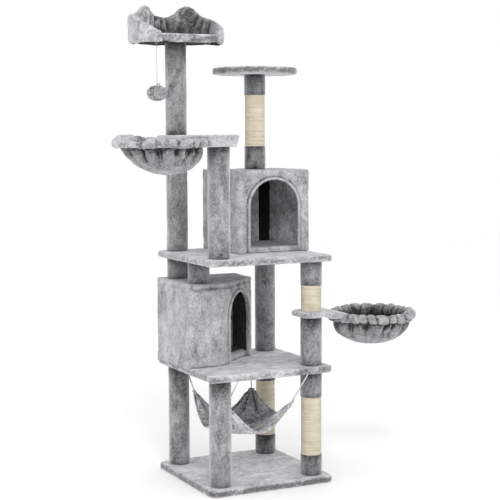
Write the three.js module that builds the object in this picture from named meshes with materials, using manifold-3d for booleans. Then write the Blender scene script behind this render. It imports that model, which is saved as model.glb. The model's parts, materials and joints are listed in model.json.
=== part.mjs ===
// A multi-level cat tree: plush-covered boards on tubular posts, two houses, two hanging
// baskets on ledges, a hammock, a perch with a padded back and a hanging pom-pom.
// Millimetres, +Z up. The origin is the centre of the base board's underside, +X runs to
// the right along the front edge and +Y runs to the back.
import * as THREE from "three";
import { mergeVertices } from "three/addons/utils/BufferGeometryUtils.js";
import Module from "manifold-3d";

const wasm = await Module();
wasm.setup();

// ---------------------------------------------------------------- driving dimensions
const GAP = 0.3; // between touching pieces
const HALF = 250; // half the side of the three square boards
const BOARD = 25; // board thickness with its plush
const BOARD_CORNER = 22; // corner radius of the boards
const POST_INSET = 63; // post axis to board edge
const POST = HALF - POST_INSET; // post axis from the centre lines
const PLUSH_R = 40; // post radius over plush
const SISAL_R = 38; // post radius over sisal
const WRAP_INNER = 35.3; // inside of sisal wraps and plush bands
const TUBE_R = 35; // cardboard core of the sisal posts
const TUBE_BORE = 31;
const PLUSH_BORE = 34; // inside of a plush post
const POST_SIDES = 20;

const LOWER_Z = 412; // undersides of the two platforms
const UPPER_Z = 824;
const LOWER_TOP = LOWER_Z + BOARD;
const UPPER_TOP = UPPER_Z + BOARD;
const BAND = 77; // height of the plush bands at the foot of the sisal posts
const LOWER_SISAL_TOP = 318;
const MID_SISAL_TOP = 735;

const LEDGE_Z = 1250; // left ledge
const LEDGE = 38;
const LEDGE_WIDTH = 126;
const PERCH_Z = 1634;
const PERCH_R = 176;
const PERCH_X = -184;
const PERCH_CHORD_Y = 52; // the perch board's straight front edge

const WALL = 14; // house wall, board and plush
const HOUSE_BOARD = 20; // house floor and roof
const ROOF_CORNER = 12;
const HOUSE_FRONT = -66;
const LOWER_ROOF_TOP = 745;
const UPPER_ROOF_TOP = 1157;
const LOWER_HOUSE = [
  [-HALF, HOUSE_FRONT],
  [-115, HOUSE_FRONT],
  [85, 100],
  [85, HALF],
  [-HALF, HALF],
];
const UPPER_HOUSE = [
  [-55, HOUSE_FRONT],
  [HALF, HOUSE_FRONT],
  [HALF, HALF],
  [-55, HALF],
];
const UPPER_DOOR_WIDTH = 205;
const UPPER_DOOR_TOP = 1124;
const LOWER_DOOR_WIDTH = 180;
const LOWER_DOOR_TOP = 700;
const CORNER_STRIP = 50; // unlined strip in the upper house's rear corner

const DISC_R = 160;
const DISC_Z = 1516;
const DISC_POST = [98, 92];
const DISC_SISAL = [1245, 1438];

const ROOF_POST_Y = -8; // the front post on the lower house's roof

const RIGHT_LEDGE_Z = 615;
const RIGHT_LEDGE = 24;
const RIGHT_LEDGE_X = [124, 290];
const STUD_R = 5;
const STUD_BORE = 5.7;
const PLUG = 15;

const RING_R = 150; // basket ring, centre line
const RING_WIRE = 5;
const TAB = [14, 3]; // width and thickness of the ring's mounting tabs
const TAB_Y = 54; // tabs either side of the post
const TAB_LENGTH = 68;
// at: ring centre. side: +1 when the ledge is on the +X side. depth: of the bowl, and
// rim: the puffy rim's lowest and highest point, all measured from the ring's centre.
const RIGHT_BASKET = { at: [451, -POST, 611], side: -1, depth: 112, rim: [-17, 15] };
const LEFT_BASKET = { at: [-411, -POST, 1251], side: 1, depth: 101, rim: [-5, 27] };

const CLOTH = 4; // hammock thickness
const CORD_R = 1.5;
const CORD_ANCHOR = [142, 240]; // where the hammock's cords meet the platform, from the centre
const TOY = [-300, 100];
const TOY_LOOP_R = 4;
const STRING_R = 1.2;
const STRING_TOP = PERCH_Z - 9;
const STRING_END = 1472;
const POMPOM_R = [38.5, 29];

// ---------------------------------------------------------------- materials
const finish = (color, roughness = 0.95, metalness = 0) =>
  new THREE.MeshStandardMaterial({ color, roughness, metalness });
const plush = finish("#b4b5b8");
const darkPlush = finish("#5f6066");
const sisal = finish("#e0cfae", 0.9);
const cardboard = finish("#a98a64", 0.9);
const steel = finish("#c9ccd0", 0.35, 1);
const lining = finish("#2a2a2e", 0.9);
const elastic = finish("#e9e9ea", 0.8);

const tree = new THREE.Group();
const rightBasket = new THREE.Group();
tree.add(rightBasket);

function addNode(name, geometry, material, parent = tree) {
  const mesh = new THREE.Mesh(geometry, material);
  mesh.name = name;
  parent.add(mesh);
  return mesh;
}

// ---------------------------------------------------------------- solids
function toSolid(geometry) {
  const bare = geometry.clone();
  bare.deleteAttribute("normal");
  bare.deleteAttribute("uv");
  const merged = mergeVertices(bare, 1e-3);
  const mesh = new wasm.Mesh({
    numProp: 3,
    vertProperties: new Float32Array(merged.attributes.position.array),
    triVerts: new Uint32Array(merged.index.array),
  });
  return new wasm.Manifold(mesh);
}

function toGeometry(solid) {
  const mesh = solid.getMesh();
  const positions = new THREE.BufferAttribute(new Float32Array(mesh.vertProperties), 3);
  const geometry = new THREE.BufferGeometry().setAttribute("position", positions);
  geometry.setIndex(new THREE.BufferAttribute(mesh.triVerts, 1));
  return geometry;
}

const cut = (whole, ...tools) =>
  toGeometry(tools.reduce((rest, tool) => rest.subtract(toSolid(tool)), toSolid(whole)));
const join = (...parts) =>
  toGeometry(parts.map(toSolid).reduce((sum, part) => sum.add(part)));

function box(x0, x1, y0, y1, z0, z1) {
  const geometry = new THREE.BoxGeometry(x1 - x0, y1 - y0, z1 - z0);
  return geometry.translate((x0 + x1) / 2, (y0 + y1) / 2, (z0 + z1) / 2);
}

function slab(shape, z0, z1, curveSegments = 4) {
  const options = { depth: z1 - z0, bevelEnabled: false, curveSegments };
  return new THREE.ExtrudeGeometry(shape, options).translate(0, 0, z0);
}

// A closed outline through the corners, each rounded by its radius.
function roundedOutline(corners, radius) {
  const shape = new THREE.Shape();
  corners.forEach((corner, i) => {
    const here = new THREE.Vector2(...corner);
    const before = new THREE.Vector2(...corners.at(i - 1)).sub(here).setLength(radius);
    const next = new THREE.Vector2(...corners[(i + 1) % corners.length]);
    const after = next.sub(here).setLength(radius);
    const start = here.clone().add(before);
    const end = here.clone().add(after);
    if (i === 0) shape.moveTo(start.x, start.y);
    else shape.lineTo(start.x, start.y);
    shape.quadraticCurveTo(here.x, here.y, end.x, end.y);
  });
  shape.closePath();
  return shape;
}

const rectangle = (x0, x1, y0, y1) => [
  [x0, y0],
  [x1, y0],
  [x1, y1],
  [x0, y1],
];

// A profile of [radius, height] points, counterclockwise, turned about the Z axis.
function turned(profile, segments) {
  const points = profile.map(([r, z]) => new THREE.Vector2(r, z));
  return new THREE.LatheGeometry(points, segments).rotateX(Math.PI / 2);
}

function sleeve(x, y, z0, z1, inner, outer) {
  const profile = [
    [inner, z0],
    [outer, z0],
    [outer, z1],
    [inner, z1],
    [inner, z0],
  ];
  return turned(profile, POST_SIDES).translate(x, y, 0);
}

// A closed sheet between two surfaces: front(u, v) and back(u, v), each on a grid.
// Front faces along (d/du) x (d/dv).
function sheet(nu, nv, front, back) {
  const positions = [];
  for (const side of [front, back]) {
    for (let i = 0; i <= nu; i += 1) {
      for (let j = 0; j <= nv; j += 1) positions.push(...side(i / nu, j / nv));
    }
  }
  const count = (nu + 1) * (nv + 1);
  const at = (i, j, layer) => layer * count + i * (nv + 1) + j;
  const triangles = [];
  const quad = (a, b, c, d) => triangles.push(a, b, c, a, c, d);
  for (let i = 0; i < nu; i += 1) {
    for (let j = 0; j < nv; j += 1) {
      quad(at(i, j, 0), at(i + 1, j, 0), at(i + 1, j + 1, 0), at(i, j + 1, 0));
      quad(at(i, j, 1), at(i, j + 1, 1), at(i + 1, j + 1, 1), at(i + 1, j, 1));
    }
  }
  for (let i = 0; i < nu; i += 1) {
    quad(at(i, 0, 0), at(i, 0, 1), at(i + 1, 0, 1), at(i + 1, 0, 0));
    quad(at(i, nv, 0), at(i + 1, nv, 0), at(i + 1, nv, 1), at(i, nv, 1));
  }
  for (let j = 0; j < nv; j += 1) {
    quad(at(0, j, 0), at(0, j + 1, 0), at(0, j + 1, 1), at(0, j, 1));
    quad(at(nu, j, 0), at(nu, j, 1), at(nu, j + 1, 1), at(nu, j + 1, 0));
  }
  const geometry = new THREE.BufferGeometry();
  geometry.setAttribute("position", new THREE.Float32BufferAttribute(positions, 3));
  return geometry.setIndex(triangles);
}

// ---------------------------------------------------------------- boards
function addBoards() {
  const square = roundedOutline(rectangle(-HALF, HALF, -HALF, HALF), BOARD_CORNER);
  addNode("base_board", slab(square, 0, BOARD), plush);
  addNode("lower_platform_board", slab(square, LOWER_Z, LOWER_TOP), plush);
  addNode("upper_platform_board", slab(square, UPPER_Z, UPPER_TOP), plush);

  const ledge = rectangle(-HALF, -HALF + LEDGE_WIDTH, -HALF, HALF);
  const ledgeOutline = roundedOutline(ledge, BOARD_CORNER);
  addNode("left_ledge_board", slab(ledgeOutline, LEDGE_Z, LEDGE_Z + LEDGE), plush);

  const disc = new THREE.Shape().absarc(0, 0, DISC_R, 0, 2 * Math.PI);
  const discBoard = slab(disc, DISC_Z, DISC_Z + BOARD, 18).translate(...DISC_POST, 0);
  addNode("top_disc_board", discBoard, plush);
}

// The perch is a disc with its front cut off along a chord.
const CHORD_ANGLE = Math.asin((PERCH_CHORD_Y - POST) / PERCH_R);

function addPerchBoard() {
  const outline = new THREE.Shape();
  outline.absarc(0, 0, PERCH_R, CHORD_ANGLE, Math.PI - CHORD_ANGLE);
  outline.closePath();
  const board = slab(outline, PERCH_Z, PERCH_Z + BOARD, 20);
  addNode("perch_board", board.translate(PERCH_X, POST, 0), plush);
}

// The perch's padded back: its height over the board, by angle from +X, has two ears.
const BACK_THICK = 30;
const BACK_HEIGHTS = [
  [-48, 8],
  [-20, 26],
  [12, 66],
  [54, 127],
  [81, 84],
  [113, 124],
  [165, 72],
  [190, 53],
  [228, 8],
];

function addPerchBack() {
  const curve = new THREE.SplineCurve(BACK_HEIGHTS.map(([a, h]) => new THREE.Vector2(a, h)));
  const foot = PERCH_Z + BOARD + GAP;
  const point = (u, v, radius) => {
    const top = curve.getPoint(u);
    const angle = THREE.MathUtils.degToRad(top.x);
    const x = PERCH_X + radius * Math.cos(angle);
    return [x, POST + radius * Math.sin(angle), foot + v * top.y];
  };
  const outside = (u, v) => point(u, v, PERCH_R);
  const inside = (u, v) => point(u, v, PERCH_R - BACK_THICK * (1 - 0.3 * v));
  addNode("perch_back", sheet(28, 2, outside, inside), plush);
}

// ---------------------------------------------------------------- posts
function addPlushPost(name, x, y, z0, z1) {
  addNode(name, sleeve(x, y, z0 + GAP, z1 - GAP, PLUSH_BORE, PLUSH_R), plush);
}

// A sisal post: a cardboard core, its sisal wrap, and a plush band where there is one.
function addSisalPost(name, x, y, z0, z1, sisalFrom, sisalTo) {
  addNode(`${name}_tube`, sleeve(x, y, z0 + GAP, z1 - GAP, TUBE_BORE, TUBE_R), cardboard);
  const low = Math.max(sisalFrom, z0 + GAP);
  addNode(`${name}_sisal_wrap`, sleeve(x, y, low, sisalTo, WRAP_INNER, SISAL_R), sisal);
  if (sisalFrom > z0) {
    const band = sleeve(x, y, z0 + GAP, sisalFrom - GAP, WRAP_INNER, PLUSH_R);
    addNode(`${name}_lower_band`, band, plush);
  }
  const top = sleeve(x, y, sisalTo + GAP, z1 - GAP, WRAP_INNER, PLUSH_R);
  addNode(`${name}_upper_band`, top, plush);
}

function addPosts() {
  const sisalFoot = BOARD + BAND;
  addPlushPost("lower_post_front_left", -POST, -POST, BOARD, LOWER_Z);
  addPlushPost("lower_post_rear_left", -POST, POST, BOARD, LOWER_Z);
  for (const [side, y] of [["front", -POST], ["rear", POST]]) {
    const name = `lower_post_${side}_right`;
    addSisalPost(name, POST, y, BOARD, LOWER_Z, sisalFoot, LOWER_SISAL_TOP);
  }

  addPlushPost("middle_post_rear_right", POST, POST, LOWER_TOP, UPPER_Z);
  addPlushPost("middle_post_front_right", POST, -POST, LOWER_TOP, RIGHT_LEDGE_Z);
  const ledgeTop = RIGHT_LEDGE_Z + RIGHT_LEDGE;
  const midName = "middle_post_over_ledge";
  addSisalPost(midName, POST, -POST, ledgeTop, UPPER_Z, ledgeTop, MID_SISAL_TOP);
  addPlushPost("roof_post_rear_left", -POST, POST, LOWER_ROOF_TOP, UPPER_Z);
  addPlushPost("roof_post_front_left", -POST, ROOF_POST_Y, LOWER_ROOF_TOP, UPPER_Z);

  addPlushPost("upper_post_front_left", -POST, -POST, UPPER_TOP, LEDGE_Z);
  addPlushPost("upper_post_rear_left", -POST, POST, UPPER_TOP, LEDGE_Z);
  addPlushPost("perch_post", -POST, POST, LEDGE_Z + LEDGE, PERCH_Z);
  addSisalPost("disc_post", ...DISC_POST, UPPER_ROOF_TOP, DISC_Z, ...DISC_SISAL);
}

// ---------------------------------------------------------------- houses
// The outline moved inwards by a distance, its corners kept sharp.
function insetOutline(corners, distance) {
  return corners.map((corner, i) => {
    const here = new THREE.Vector2(...corner);
    const into = here.clone().sub(new THREE.Vector2(...corners.at(i - 1))).normalize();
    const next = new THREE.Vector2(...corners[(i + 1) % corners.length]);
    const out = next.sub(here).normalize();
    const turn = into.cross(out);
    const shift = out.clone().sub(into).multiplyScalar(distance / turn);
    return here.add(shift).toArray();
  });
}

const polygon = (corners) =>
  new THREE.Shape(corners.map((corner) => new THREE.Vector2(...corner)));

// One wall between two corners, with mitred ends and a small gap in each mitre.
function houseWall(outer, inner, i, z0, z1) {
  const j = (i + 1) % outer.length;
  const along = new THREE.Vector2(outer[j][0] - outer[i][0], outer[j][1] - outer[i][1]);
  const step = along.setLength(GAP);
  const plan = [
    [outer[i][0] + step.x, outer[i][1] + step.y],
    [outer[j][0] - step.x, outer[j][1] - step.y],
    [inner[j][0] - step.x, inner[j][1] - step.y],
    [inner[i][0] + step.x, inner[i][1] + step.y],
  ];
  return slab(polygon(plan), z0, z1);
}

// An arched cutter that stands on z0, centred at a share of the wall from a to b.
function archCutter(a, b, share, width, z0, top) {
  const half = width / 2;
  const spring = top - half;
  const arch = new THREE.Shape();
  arch.moveTo(-half, z0 - WALL);
  arch.lineTo(half, z0 - WALL);
  arch.lineTo(half, spring);
  arch.absarc(0, spring, half, 0, Math.PI);
  arch.closePath();
  const depth = 6 * WALL;
  const cutter = new THREE.ExtrudeGeometry(arch, { depth, bevelEnabled: false, curveSegments: 12 });
  cutter.translate(0, 0, -depth / 2).rotateX(Math.PI / 2);
  cutter.rotateZ(Math.atan2(b[1] - a[1], b[0] - a[0]));
  return cutter.translate(a[0] + share * (b[0] - a[0]), a[1] + share * (b[1] - a[1]), 0);
}

function addHouse(name, corners, wallNames, z0, roofTop, door) {
  const inner = insetOutline(corners, WALL);
  const roofZ = roofTop - HOUSE_BOARD;
  const foot = z0 + GAP;
  wallNames.forEach((wallName, i) => {
    let wall = houseWall(corners, inner, i, foot, roofZ - GAP);
    if (wallName === door.wall) {
      const next = corners[(i + 1) % corners.length];
      const cutter = archCutter(corners[i], next, door.share, door.width, foot, door.top);
      wall = cut(wall, cutter);
    }
    addNode(`${name}_${wallName}`, wall, plush);
  });
  const floor = polygon(insetOutline(corners, WALL + GAP));
  addNode(`${name}_floor`, slab(floor, foot, z0 + HOUSE_BOARD), darkPlush);
  addNode(`${name}_roof`, slab(roundedOutline(corners, ROOF_CORNER), roofZ, roofTop - GAP), plush);
}

function addHouses() {
  const lowerWalls = ["front_wall", "door_wall", "right_wall", "back_wall", "left_wall"];
  const lowerDoor = {
    wall: "door_wall",
    share: 0.55,
    width: LOWER_DOOR_WIDTH,
    top: LOWER_DOOR_TOP,
  };
  addHouse("lower_house", LOWER_HOUSE, lowerWalls, LOWER_TOP, LOWER_ROOF_TOP, lowerDoor);

  const upperWalls = ["door_wall", "right_wall", "back_wall", "left_wall"];
  const upperDoor = {
    wall: "door_wall",
    share: 0.5,
    width: UPPER_DOOR_WIDTH,
    top: UPPER_DOOR_TOP,
  };
  addHouse("upper_house", UPPER_HOUSE, upperWalls, UPPER_TOP, UPPER_ROOF_TOP, upperDoor);

  const right = HALF - WALL - GAP;
  const back = HALF - WALL - GAP;
  const low = UPPER_TOP + HOUSE_BOARD + GAP;
  const high = UPPER_ROOF_TOP - HOUSE_BOARD - GAP;
  const strip = box(right - CORNER_STRIP, right, back - 3, back, low, high);
  addNode("upper_house_corner_strip", strip, lining);
}

// ---------------------------------------------------------------- baskets
// The bowl's fabric goes up inside the ring, over it and down outside, as a hem.
function bowlProfile(depth, [rimLow, rimHigh]) {
  const neck = Math.min(rimLow, -RING_WIRE - 1);
  return [
    [0, -depth],
    [50, -0.97 * depth],
    [95, -0.81 * depth],
    [127, -0.5 * depth],
    [141, neck],
    [143, RING_WIRE + 2],
    [157, RING_WIRE + 2],
    [157, neck],
    [167, neck],
    [169, 0.4 * rimHigh],
    [161, 0.9 * rimHigh],
    [145, rimHigh],
    [134, 0.5 * rimHigh],
    [132, neck],
    [119, 7 - 0.51 * depth],
    [89, 7 - 0.81 * depth],
    [47, 7 - 0.97 * depth],
    [0, 7 - depth],
  ];
}

// The tabs lie flat under the ledge at tabZ, and reach into the ring's wire.
function basketRing(x, y, z, side, tabZ) {
  const ring = new THREE.TorusGeometry(RING_R, RING_WIRE, 6, 32).translate(x, y, z);
  const [width, thick] = TAB;
  const from = Math.sqrt(RING_R ** 2 - TAB_Y ** 2);
  const ends = [x + side * from, x + side * (from + TAB_LENGTH)].sort((a, b) => a - b);
  const tabs = [y - TAB_Y, y + TAB_Y].map((tabY) =>
    box(...ends, tabY - width / 2, tabY + width / 2, tabZ - thick, tabZ),
  );
  return join(ring, ...tabs);
}

// keepOut is the ledge, which the hem gives way to, and ledgeZ its underside.
function addBasket(name, { at: [x, y, z], side, depth, rim }, keepOut, ledgeZ, parent) {
  const tabZ = ledgeZ - GAP;
  addNode(`${name}_ring`, basketRing(x, y, z, side, tabZ), steel, parent);
  const [width, thick] = TAB;
  const half = width / 2 + 1;
  const ends = [x, x + side * 2 * RING_R].sort((a, b) => a - b);
  const slots = [y - TAB_Y, y + TAB_Y].map((tabY) =>
    box(...ends, tabY - half, tabY + half, tabZ - thick - 1, tabZ + 1),
  );
  const bowl = turned(bowlProfile(depth, rim), 24).translate(x, y, z);
  addNode(`${name}_bowl`, cut(bowl, keepOut, ...slots), plush, parent);
}

function addBaskets() {
  const clear = 0.6;
  const leftLedge = box(
    -HALF - clear,
    0,
    -HALF - clear,
    HALF,
    LEDGE_Z - clear,
    LEDGE_Z + LEDGE + clear,
  );
  addBasket("left_basket", LEFT_BASKET, leftLedge, LEDGE_Z, tree);

  const [ledgeX0, ledgeX1] = RIGHT_LEDGE_X;
  const ledgeTop = RIGHT_LEDGE_Z + RIGHT_LEDGE;
  const [y0, y1] = [-HALF, -HALF + LEDGE_WIDTH];
  const keepOut = box(
    ledgeX0,
    ledgeX1 + clear,
    y0 - clear,
    y1 + clear,
    RIGHT_LEDGE_Z - clear,
    ledgeTop + clear,
  );
  addBasket("right_basket", RIGHT_BASKET, keepOut, RIGHT_LEDGE_Z, rightBasket);

  const outline = roundedOutline(rectangle(ledgeX0, ledgeX1, y0, y1), 2 * BOARD_CORNER);
  const board = slab(outline, RIGHT_LEDGE_Z, ledgeTop);
  const bore = new THREE.CylinderGeometry(STUD_BORE, STUD_BORE, 3 * RIGHT_LEDGE, 16);
  bore.rotateX(Math.PI / 2).translate(POST, -POST, RIGHT_LEDGE_Z);
  addNode("right_ledge_board", cut(board, bore), plush, rightBasket);

  const low = RIGHT_LEDGE_Z - GAP;
  const high = ledgeTop + GAP;
  const stud = [
    [0, low - PLUG],
    [PLUSH_BORE - 1, low - PLUG],
    [PLUSH_BORE - 1, low],
    [STUD_R, low],
    [STUD_R, high],
    [TUBE_BORE - 1, high],
    [TUBE_BORE - 1, high + PLUG],
    [0, high + PLUG],
  ];
  addNode("right_ledge_stud", turned(stud, 16).translate(POST, -POST, 0), steel);
}

// ---------------------------------------------------------------- hammock
// Corners, and for each edge how far its middle hangs down and is pulled in.
const HAMMOCK = {
  frontLeft: [-137, -137, 305],
  frontRight: [137, -137, 300],
  rearRight: [115, 165, 297],
  rearLeft: [-143, 143, 315],
  front: { sag: 122, pull: 56 },
  right: { sag: 70, pull: 24 },
  rear: { sag: 76, pull: 38 },
  left: { sag: 112, pull: 44 },
  lift: 30, // the middle's height over the surface that the four edges span
};

function hammockEdge(from, to, { sag, pull }, inward) {
  return (t) => {
    const bow = 4 * t * (1 - t);
    const point = new THREE.Vector3(...from).lerp(new THREE.Vector3(...to), t);
    return point.add(new THREE.Vector3(inward[0] * pull, inward[1] * pull, -sag).multiplyScalar(bow));
  };
}

function hammockPoint() {
  const h = HAMMOCK;
  const front = hammockEdge(h.frontLeft, h.frontRight, h.front, [0, 1]);
  const rear = hammockEdge(h.rearLeft, h.rearRight, h.rear, [0, -1]);
  const left = hammockEdge(h.frontLeft, h.rearLeft, h.left, [1, 0]);
  const right = hammockEdge(h.frontRight, h.rearRight, h.right, [-1, 0]);
  const corners = [h.frontLeft, h.frontRight, h.rearLeft, h.rearRight];
  const [fl, fr, rl, rr] = corners.map((corner) => new THREE.Vector3(...corner));
  return (u, v) => {
    const ruledV = front(u).lerp(rear(u), v);
    const ruledU = left(v).lerp(right(v), u);
    const bilinear = fl.clone().lerp(fr, u).lerp(rl.clone().lerp(rr, u), v);
    const point = ruledV.add(ruledU).sub(bilinear);
    point.z += 16 * u * (1 - u) * v * (1 - v) * h.lift;
    return point;
  };
}

function cord(from, to, radius, steps) {
  const path = new THREE.LineCurve3(new THREE.Vector3(...from), new THREE.Vector3(...to));
  const section = new THREE.Shape();
  for (let i = 0; i < 8; i += 1) {
    const angle = (i * Math.PI) / 4;
    const [x, y] = [radius * Math.cos(angle), radius * Math.sin(angle)];
    if (i === 0) section.moveTo(x, y);
    else section.lineTo(x, y);
  }
  section.closePath();
  return new THREE.ExtrudeGeometry(section, { steps, bevelEnabled: false, extrudePath: path });
}

function addHammock() {
  const point = hammockPoint();
  const top = (u, v) => point(u, v).toArray();
  const bottom = (u, v) => point(u, v).sub(new THREE.Vector3(0, 0, CLOTH)).toArray();
  addNode("hammock_cloth", sheet(8, 8, top, bottom), darkPlush);

  const [anchorX, anchorY] = CORD_ANCHOR;
  const anchorZ = LOWER_Z - GAP - CORD_R;
  for (const name of ["frontLeft", "frontRight", "rearRight", "rearLeft"]) {
    const [x, y, z] = HAMMOCK[name];
    const anchor = [Math.sign(x) * anchorX, Math.sign(y) * anchorY, anchorZ];
    const start = new THREE.Vector3(x, y, z + GAP);
    const away = new THREE.Vector3(...anchor).sub(start).setLength(2 * CORD_R);
    const label = name.replace(/[A-Z]/, (letter) => `_${letter.toLowerCase()}`);
    const from = start.add(away).toArray();
    addNode(`hammock_cord_${label}`, cord(from, anchor, CORD_R, 12), elastic);
  }
}

// ---------------------------------------------------------------- toy
function addToy() {
  const [x, y] = TOY;
  const loop = new THREE.TorusGeometry(TOY_LOOP_R, 1.5, 6, 12).rotateX(Math.PI / 2);
  addNode("toy_loop", loop.translate(x, y, PERCH_Z - 6.5), elastic);
  const top = [x, y, STRING_TOP - 4];
  addNode("toy_string", cord([x, y, STRING_END], top, STRING_R, 20), elastic);
  const [wide, tall] = POMPOM_R;
  const ball = new THREE.SphereGeometry(wide, 14, 9).rotateX(Math.PI / 2);
  ball.scale(1, 1, tall / wide).translate(x, y, STRING_END - tall - GAP);
  addNode("toy_pompom", ball, plush);
}

addBoards();
addPerchBoard();
addPerchBack();
addPosts();
addHouses();
addBaskets();
addHammock();
addToy();

export default tree;
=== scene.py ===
import json
import math
import random
from collections import namedtuple

import bpy
import numpy as np
from mathutils import Matrix, Vector, noise


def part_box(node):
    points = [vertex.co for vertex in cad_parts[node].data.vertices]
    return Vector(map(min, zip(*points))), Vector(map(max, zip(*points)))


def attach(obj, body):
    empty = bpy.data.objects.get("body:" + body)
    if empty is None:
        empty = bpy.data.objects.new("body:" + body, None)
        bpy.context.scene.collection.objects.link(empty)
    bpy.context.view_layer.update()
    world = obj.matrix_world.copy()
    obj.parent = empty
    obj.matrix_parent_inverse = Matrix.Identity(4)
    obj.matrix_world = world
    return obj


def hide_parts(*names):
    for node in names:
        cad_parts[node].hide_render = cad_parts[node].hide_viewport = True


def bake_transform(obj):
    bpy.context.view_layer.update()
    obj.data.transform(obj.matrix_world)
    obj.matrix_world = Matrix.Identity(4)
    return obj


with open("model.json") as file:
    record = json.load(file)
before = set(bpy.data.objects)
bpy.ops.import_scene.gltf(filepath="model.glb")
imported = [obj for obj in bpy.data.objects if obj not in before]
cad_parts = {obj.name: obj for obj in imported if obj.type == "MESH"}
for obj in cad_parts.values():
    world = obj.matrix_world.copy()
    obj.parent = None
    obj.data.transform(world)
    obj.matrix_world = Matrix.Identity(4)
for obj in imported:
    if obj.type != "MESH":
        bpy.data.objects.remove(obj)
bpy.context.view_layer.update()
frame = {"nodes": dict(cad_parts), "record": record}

TAU = 2 * math.pi
MM = 0.001

# ---------------------------------------------------------------- sizes
VOXEL = 4.5 * MM  # remesh size of the plush boards and houses
PERCH_VOXEL = 3.5 * MM
BOARD_CORNER = 24 * MM
PLUSH_EDGE = 3 * MM  # how far a plush tube's end rolls in
SLEEVE_SEAM_AT = math.radians(70)
SISAL_PITCH = 6 * MM
SISAL_CORD = 2.2 * MM  # how proud each turn of sisal stands
SISAL_WALL = 2.7 * MM
HOUSE_WALL = 14 * MM
HOUSE_BOARD = 20 * MM
HOUSE_CORNER = 12 * MM
DOOR_SILL = 50 * MM  # how far the cover's plush runs in over the floor at the doorway
RING_R = 150 * MM
CORD_D = 5 * MM
STRING_D = 3 * MM
POST_R = 40 * MM
POST_BORE = 34 * MM
BAND_BORE = 35.3 * MM
LEDGE_POST_X = 0.187  # the ledges stand on posts at this distance to the left and right
LEDGE_POST_Y = -0.187
TAB_COVER = 4 * MM  # how far the ledges' plush hangs over the baskets' tabs
LEDGE_LAP = 34 * MM  # how far the right ledge's plush runs on over its basket's rim


# ---------------------------------------------------------------- small helpers
def share_of(values):
    """Values held between 0 and 1."""
    return np.clip(values, 0, 1)


def ramp(values, zero, one):
    """0 where a value is at zero, 1 where it is at one, and held beyond them."""
    return share_of((values - zero) / (one - zero))


def hump(values):
    """A bell: 1 at 0, and next to nothing past 2 on either side."""
    return np.exp(-(values**2))


def turn_from(angle, degrees):
    """How far each angle, in radians, is turned from one in degrees: -pi to pi."""
    return np.mod(angle - math.radians(degrees) + math.pi, TAU) - math.pi


def link_object(name, data):
    made = bpy.data.objects.new(name, data)
    bpy.context.scene.collection.objects.link(made)
    return made


# ---------------------------------------------------------------- camera, light and floor
CAMERA_AT = Vector((-2.1287, -4.3348, 1.2846))
CAMERA_YAW = math.radians(-26.461)
CAMERA_PITCH = math.radians(5.051)
CAMERA_ROLL = math.radians(-0.283)
CAMERA_LENS = 93.09
KEY_LIGHT = {"at": (-1.3, -3.4, 3.6), "target": (0, 0, 0.9), "size": 1.4, "power": 66}
FLOOR_REACH = 9


def add_camera():
    data = bpy.data.cameras.new("camera")
    data.lens = CAMERA_LENS
    data.sensor_width = 36
    data.clip_end = 50
    camera = link_object("camera", data)
    yaw, pitch, roll = CAMERA_YAW, CAMERA_PITCH, CAMERA_ROLL
    level = math.cos(pitch)
    forward = Vector((-math.sin(yaw) * level, math.cos(yaw) * level, -math.sin(pitch)))
    right = Vector((math.cos(yaw), math.sin(yaw), 0))
    up = right.cross(forward)
    rolled_right = math.cos(roll) * right + math.sin(roll) * up
    rolled_up = math.cos(roll) * up - math.sin(roll) * right
    axes = Matrix((rolled_right, rolled_up, -forward)).transposed()
    camera.matrix_world = Matrix.Translation(CAMERA_AT) @ axes.to_4x4()
    bpy.context.scene.camera = camera


def add_area_light(name, at, target, size, power):
    data = bpy.data.lights.new(name, "AREA")
    data.shape = "DISK"
    data.size = size
    data.energy = power
    light = link_object(name, data)
    light.location = at
    light.rotation_euler = (Vector(target) - Vector(at)).to_track_quat("-Z", "Y").to_euler()


def add_studio():
    world = bpy.data.worlds.new("studio")
    world.use_nodes = True
    background = world.node_tree.nodes["Background"]
    background.inputs["Color"].default_value = (1, 1, 1, 1)
    background.inputs["Strength"].default_value = 1.0
    bpy.context.scene.world = world
    bpy.context.scene.view_settings.view_transform = "Standard"
    add_area_light("key", **KEY_LIGHT)

    mesh = bpy.data.meshes.new("floor")
    reach = FLOOR_REACH
    corners = [(-reach, -reach, 0), (reach, -reach, 0), (reach, reach, 0), (-reach, reach, 0)]
    mesh.from_pydata(corners, [], [(0, 1, 2, 3)])
    values = {"Base Color": (0.985, 0.985, 0.985, 1), "Roughness": 0.9}
    mesh.materials.append(new_material("studio_floor", values)[0])
    floor = link_object("floor", mesh)


# ---------------------------------------------------------------- materials
def new_material(name, values):
    """A new material, its node tree, and its surface with the given values set."""
    material = bpy.data.materials.new(name)
    material.use_nodes = True
    surface = material.node_tree.nodes["Principled BSDF"]
    for key, value in values.items():
        surface.inputs[key].default_value = value
    return material, material.node_tree, surface


def add_node(tree, kind, inputs, **settings):
    made = tree.nodes.new(kind)
    for key, value in settings.items():
        setattr(made, key, value)
    for key, value in inputs.items():
        if isinstance(value, bpy.types.NodeSocket):
            tree.links.new(value, made.inputs[key])
        else:
            made.inputs[key].default_value = value
    return made


def object_space(tree):
    return add_node(tree, "ShaderNodeTexCoord", {}).outputs["Object"]


def noise_value(tree, at, stretch, size, detail, roughness, distortion=0.0):
    """Noise of features about size metres across, drawn out along the axes by stretch."""
    scale = tuple(1 / (size * s) for s in stretch)
    mapped = add_node(tree, "ShaderNodeMapping", {"Vector": at, "Scale": scale})
    inputs = {
        "Vector": mapped.outputs["Vector"],
        "Scale": 1.0,
        "Detail": detail,
        "Roughness": roughness,
        "Distortion": distortion,
    }
    return add_node(tree, "ShaderNodeTexNoise", inputs).outputs["Fac"]


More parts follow.
